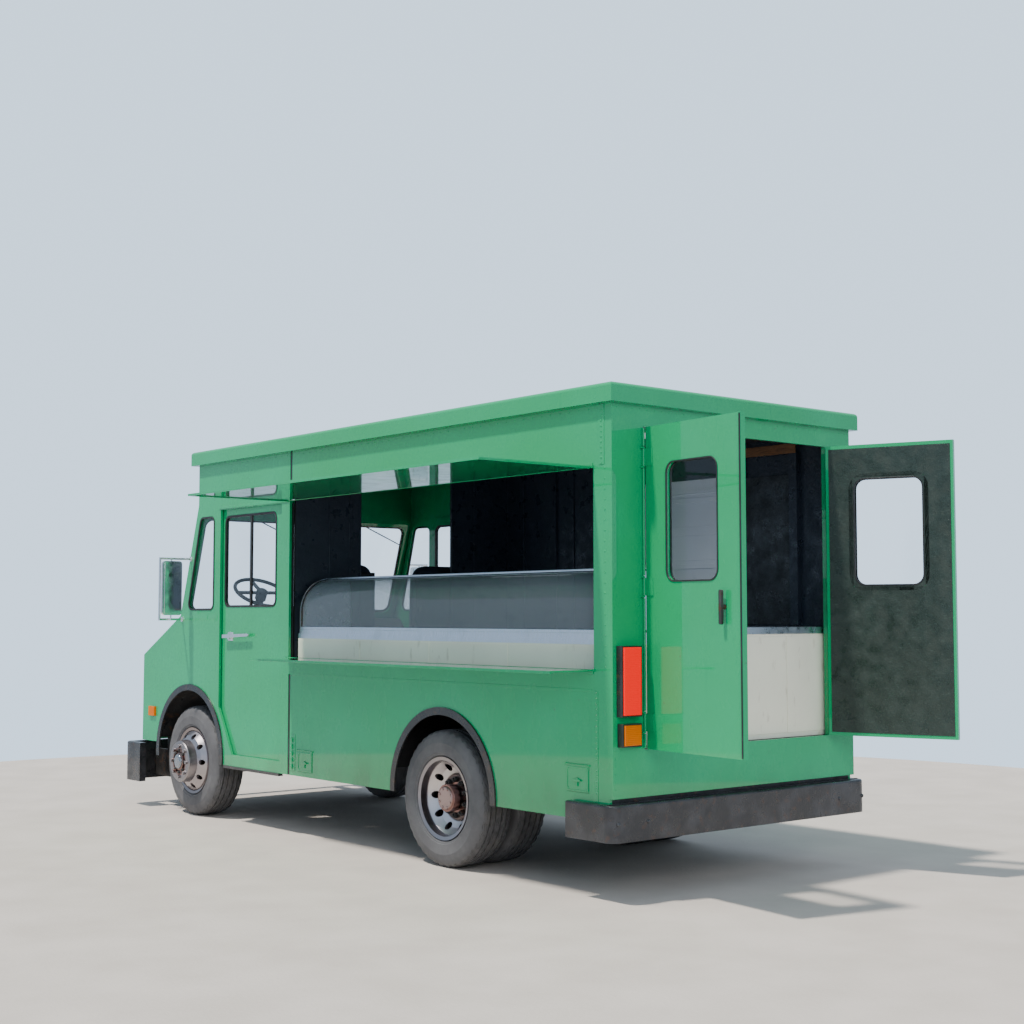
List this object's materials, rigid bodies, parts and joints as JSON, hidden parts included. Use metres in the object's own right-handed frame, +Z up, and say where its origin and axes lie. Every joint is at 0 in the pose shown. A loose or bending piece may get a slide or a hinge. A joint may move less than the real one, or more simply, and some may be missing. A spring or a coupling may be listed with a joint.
{
  "type": "step van food truck",
  "caption": "Walk-in step van with a flip-up serving hatch, display counter, sliding cab doors and hinged rear doors, on dual rear wheels.",
  "frame": {"origin": "on the ground under the middle of the whole truck's box, with its rear doors open and its hatch flaps level", "axes": "+Z up, -Y towards the nose, +X towards the truck's left side, which has the serving hatch"},
  "size_m": [3.279, 6.9254, 2.9579],
  "materials": {
    "green_paint": "gloss",
    "black_metal": "satin",
    "navy_lining": "satin",
    "black_trim": "satin",
    "bumper_black": "satin",
    "tyre": "matte",
    "wheel_steel": "satin",
    "spring_steel": "satin",
    "cast_iron": "matte",
    "glass": "gloss",
    "tinted_glass": "gloss",
    "red_lens": "gloss",
    "amber_lens": "gloss",
    "cream_panel": "satin",
    "steel": "satin",
    "dash_plastic": "satin",
    "seat_vinyl": "satin",
    "chrome": "polished"
  },
  "bodies": {
    "truck": {"chassis_frame": "black_metal", "axle_beams": "black_metal", "leaf_springs": "spring_steel", "engine": "cast_iron", "tank_and_exhaust": "black_metal", "floor": "black_metal", "roof": "green_paint", "cab_shell": "green_paint", "wall_left": "green_paint", "wall_right": "green_paint", "rear_frame": "green_paint", "interior_lining": "navy_lining", "fixed_glass": "glass", "arch_trims": "black_trim", "bumpers": "bumper_black", "lamp_housings": "black_trim", "red_lenses": "red_lens", "amber_lenses": "amber_lens", "dashboard": "dash_plastic", "seats": "seat_vinyl", "cabinets": "cream_panel", "steel_tops": "steel", "display_glass": "tinted_glass", "mirror_arms": "chrome"},
    "drive_shaft": {"drive_shaft": "spring_steel"},
    "tie_rod": {"tie_rod": "spring_steel"},
    "steering_wheel": {"steering_wheel": "dash_plastic"},
    "brake_pedal": {"brake_pedal": "black_metal"},
    "accelerator_pedal": {"accelerator_pedal": "black_metal"},
    "awning": {"awning": "green_paint"},
    "serving_shelf": {"serving_shelf": "green_paint"},
    "hood": {"hood": "green_paint"},
    "fuel_flap": {"fuel_flap": "green_paint"},
    "locker_flap": {"locker_flap": "green_paint"},
    "rear_door_left": {"rear_door_left": "green_paint", "rear_door_left_glass": "glass"},
    "rear_latch_left": {"rear_latch_left": "chrome"},
    "cab_door_left": {"cab_door_left": "green_paint", "cab_door_left_glass": "glass"},
    "cab_handle_left": {"cab_handle_left": "chrome"},
    "mirror_left": {"mirror_left": "chrome"},
    "wiper_left": {"wiper_left": "black_trim"},
    "knuckle_left": {"knuckle_left": "black_metal"},
    "front_wheel_left": {"front_tyre_left": "tyre", "front_rim_left": "wheel_steel"},
    "rear_wheels_left": {"rear_tyres_left": "tyre", "rear_rims_left": "wheel_steel"},
    "rear_door_right": {"rear_door_right": "green_paint", "rear_door_right_glass": "glass"},
    "rear_latch_right": {"rear_latch_right": "chrome"},
    "cab_door_right": {"cab_door_right": "green_paint", "cab_door_right_glass": "glass"},
    "cab_handle_right": {"cab_handle_right": "chrome"},
    "mirror_right": {"mirror_right": "chrome"},
    "wiper_right": {"wiper_right": "black_trim"},
    "knuckle_right": {"knuckle_right": "black_metal"},
    "front_wheel_right": {"front_tyre_right": "tyre", "front_rim_right": "wheel_steel"},
    "rear_wheels_right": {"rear_tyres_right": "tyre", "rear_rims_right": "wheel_steel"}
  },
  "joints": [
    {"name": "rear_door_left_hinge", "type": "hinge", "parent": "truck", "child": "rear_door_left", "pos_m": [0.544, 2.638, 1.788], "axis": [0, 0, 1], "range_deg": [-33, 96.5]},
    {"name": "rear_latch_left_turn", "type": "hinge", "parent": "rear_door_left", "child": "rear_latch_left", "pos_m": [0.61416, 3.32447, 1.668], "axis": [0.9936, -0.1132, 0], "range_deg": [0, 90], "stiffness_Nm_per_rad": 1.5},
    {"name": "cab_door_left_slide", "type": "slide", "parent": "truck", "child": "cab_door_left", "axis": [0, 1, 0], "range_m": [0, 0.44]},
    {"name": "cab_handle_left_lift", "type": "hinge", "parent": "cab_door_left", "child": "cab_handle_left", "pos_m": [0.776, -1.77, 1.458], "axis": [1, 0, 0], "range_deg": [0, 40], "stiffness_Nm_per_rad": 2},
    {"name": "mirror_left_turn", "type": "hinge", "parent": "truck", "child": "mirror_left", "pos_m": [0.96, -2.4085, 1.846], "axis": [0, 0, 1], "range_deg": [-25, 25]},
    {"name": "knuckle_left_steer", "type": "hinge", "parent": "truck", "child": "knuckle_left", "pos_m": [0.49, -2.397, 0.442], "axis": [0, 0, 1], "range_deg": [-30, 30]},
    {"name": "front_wheel_left_spin", "type": "hinge", "parent": "knuckle_left", "child": "front_wheel_left", "pos_m": [0.631, -2.397, 0.442], "axis": [1, 0, 0], "continuous": true},
    {"name": "rear_wheels_left_spin", "type": "hinge", "parent": "truck", "child": "rear_wheels_left", "pos_m": [0.631, 0.984, 0.442], "axis": [1, 0, 0], "continuous": true},
    {"name": "rear_door_right_hinge", "type": "hinge", "parent": "truck", "child": "rear_door_right", "pos_m": [-1.124, 2.638, 1.788], "axis": [0, 0, 1], "range_deg": [-110, 20]},
    {"name": "rear_latch_right_turn", "type": "hinge", "parent": "rear_door_right", "child": "rear_latch_right", "pos_m": [-1.35248, 3.28912, 1.668], "axis": [-0.9397, -0.342, 0], "range_deg": [-90, 0], "stiffness_Nm_per_rad": 1.5},
    {"name": "cab_door_right_slide", "type": "slide", "parent": "truck", "child": "cab_door_right", "axis": [0, 1, 0], "range_m": [0, 0.44]},
    {"name": "cab_handle_right_lift", "type": "hinge", "parent": "cab_door_right", "child": "cab_handle_right", "pos_m": [-1.356, -1.77, 1.458], "axis": [1, 0, 0], "range_deg": [0, 40], "stiffness_Nm_per_rad": 2},
    {"name": "mirror_right_turn", "type": "hinge", "parent": "truck", "child": "mirror_right", "pos_m": [-1.54, -2.4085, 1.846], "axis": [0, 0, 1], "range_deg": [-25, 25]},
    {"name": "knuckle_right_steer", "type": "hinge", "parent": "truck", "child": "knuckle_right", "pos_m": [-1.07, -2.397, 0.442], "axis": [0, 0, 1], "range_deg": [-30, 30]},
    {"name": "front_wheel_right_spin", "type": "hinge", "parent": "knuckle_right", "child": "front_wheel_right", "pos_m": [-1.211, -2.397, 0.442], "axis": [1, 0, 0], "continuous": true},
    {"name": "rear_wheels_right_spin", "type": "hinge", "parent": "truck", "child": "rear_wheels_right", "pos_m": [-1.211, 0.984, 0.442], "axis": [1, 0, 0], "continuous": true},
    {"name": "drive_shaft_spin", "type": "hinge", "parent": "truck", "child": "drive_shaft", "pos_m": [-0.29, -1.17, 0.69], "axis": [0, 0.9933, -0.1159], "continuous": true},
    {"name": "tie_rod_pivot", "type": "hinge", "parent": "knuckle_left", "child": "tie_rod", "pos_m": [0.49, -2.217, 0.352], "axis": [0, 0, 1], "range_deg": [-30, 30]},
    {"name": "steering_wheel_turn", "type": "hinge", "parent": "truck", "child": "steering_wheel", "pos_m": [0.31, -2.07, 1.81], "axis": [0, 0.5, 0.866], "range_deg": [-540, 540]},
    {"name": "brake_pedal_press", "type": "hinge", "parent": "truck", "child": "brake_pedal", "pos_m": [0.195, -2.46, 1.3], "axis": [1, 0, 0], "range_deg": [-14, 0], "stiffness_Nm_per_rad": 60},
    {"name": "accelerator_press", "type": "hinge", "parent": "truck", "child": "accelerator_pedal", "pos_m": [0.11, -2.46, 1.3], "axis": [1, 0, 0], "range_deg": [-12, 0], "stiffness_Nm_per_rad": 20},
    {"name": "awning_hinge", "type": "hinge", "parent": "truck", "child": "awning", "pos_m": [0.8, 0.808, 2.481], "axis": [0, 1, 0], "range_deg": [0, 90]},
    {"name": "serving_shelf_hinge", "type": "hinge", "parent": "truck", "child": "serving_shelf", "pos_m": [0.8, 0.808, 1.308], "axis": [0, 1, 0], "range_deg": [-90, 0]},
    {"name": "hood_hinge", "type": "hinge", "parent": "truck", "child": "hood", "pos_m": [-0.29, -2.61117, 1.60426], "axis": [1, 0, 0], "range_deg": [-60, 0]},
    {"name": "fuel_flap_hinge", "type": "hinge", "parent": "truck", "child": "fuel_flap", "pos_m": [0.796, 2.3335, 0.763], "axis": [0, 1, 0], "range_deg": [-100, 0]},
    {"name": "locker_flap_hinge", "type": "hinge", "parent": "truck", "child": "locker_flap", "pos_m": [0.796, -0.612, 0.641], "axis": [0, 1, 0], "range_deg": [-100, 0]},
    {"name": "wiper_left_sweep", "type": "hinge", "parent": "truck", "child": "wiper_left", "pos_m": [0.236, -2.30195, 2.42989], "axis": [0, -0.9521, 0.3058], "range_deg": [0, 85]},
    {"name": "wiper_right_sweep", "type": "hinge", "parent": "truck", "child": "wiper_right", "pos_m": [-0.823, -2.30195, 2.42989], "axis": [0, -0.9521, 0.3058], "range_deg": [0, 85]}
  ],
  "couplings": [
    {"joint": "knuckle_right_steer", "follows": "knuckle_left_steer", "ratio": 1},
    {"joint": "tie_rod_pivot", "follows": "knuckle_left_steer", "ratio": -1},
    {"joint": "steering_wheel_turn", "follows": "knuckle_left_steer", "ratio": 18},
    {"joint": "rear_wheels_right_spin", "follows": "rear_wheels_left_spin", "ratio": 1},
    {"joint": "drive_shaft_spin", "follows": "rear_wheels_left_spin", "ratio": 4.1},
    {"joint": "wiper_right_sweep", "follows": "wiper_left_sweep", "ratio": 1}
  ]
}
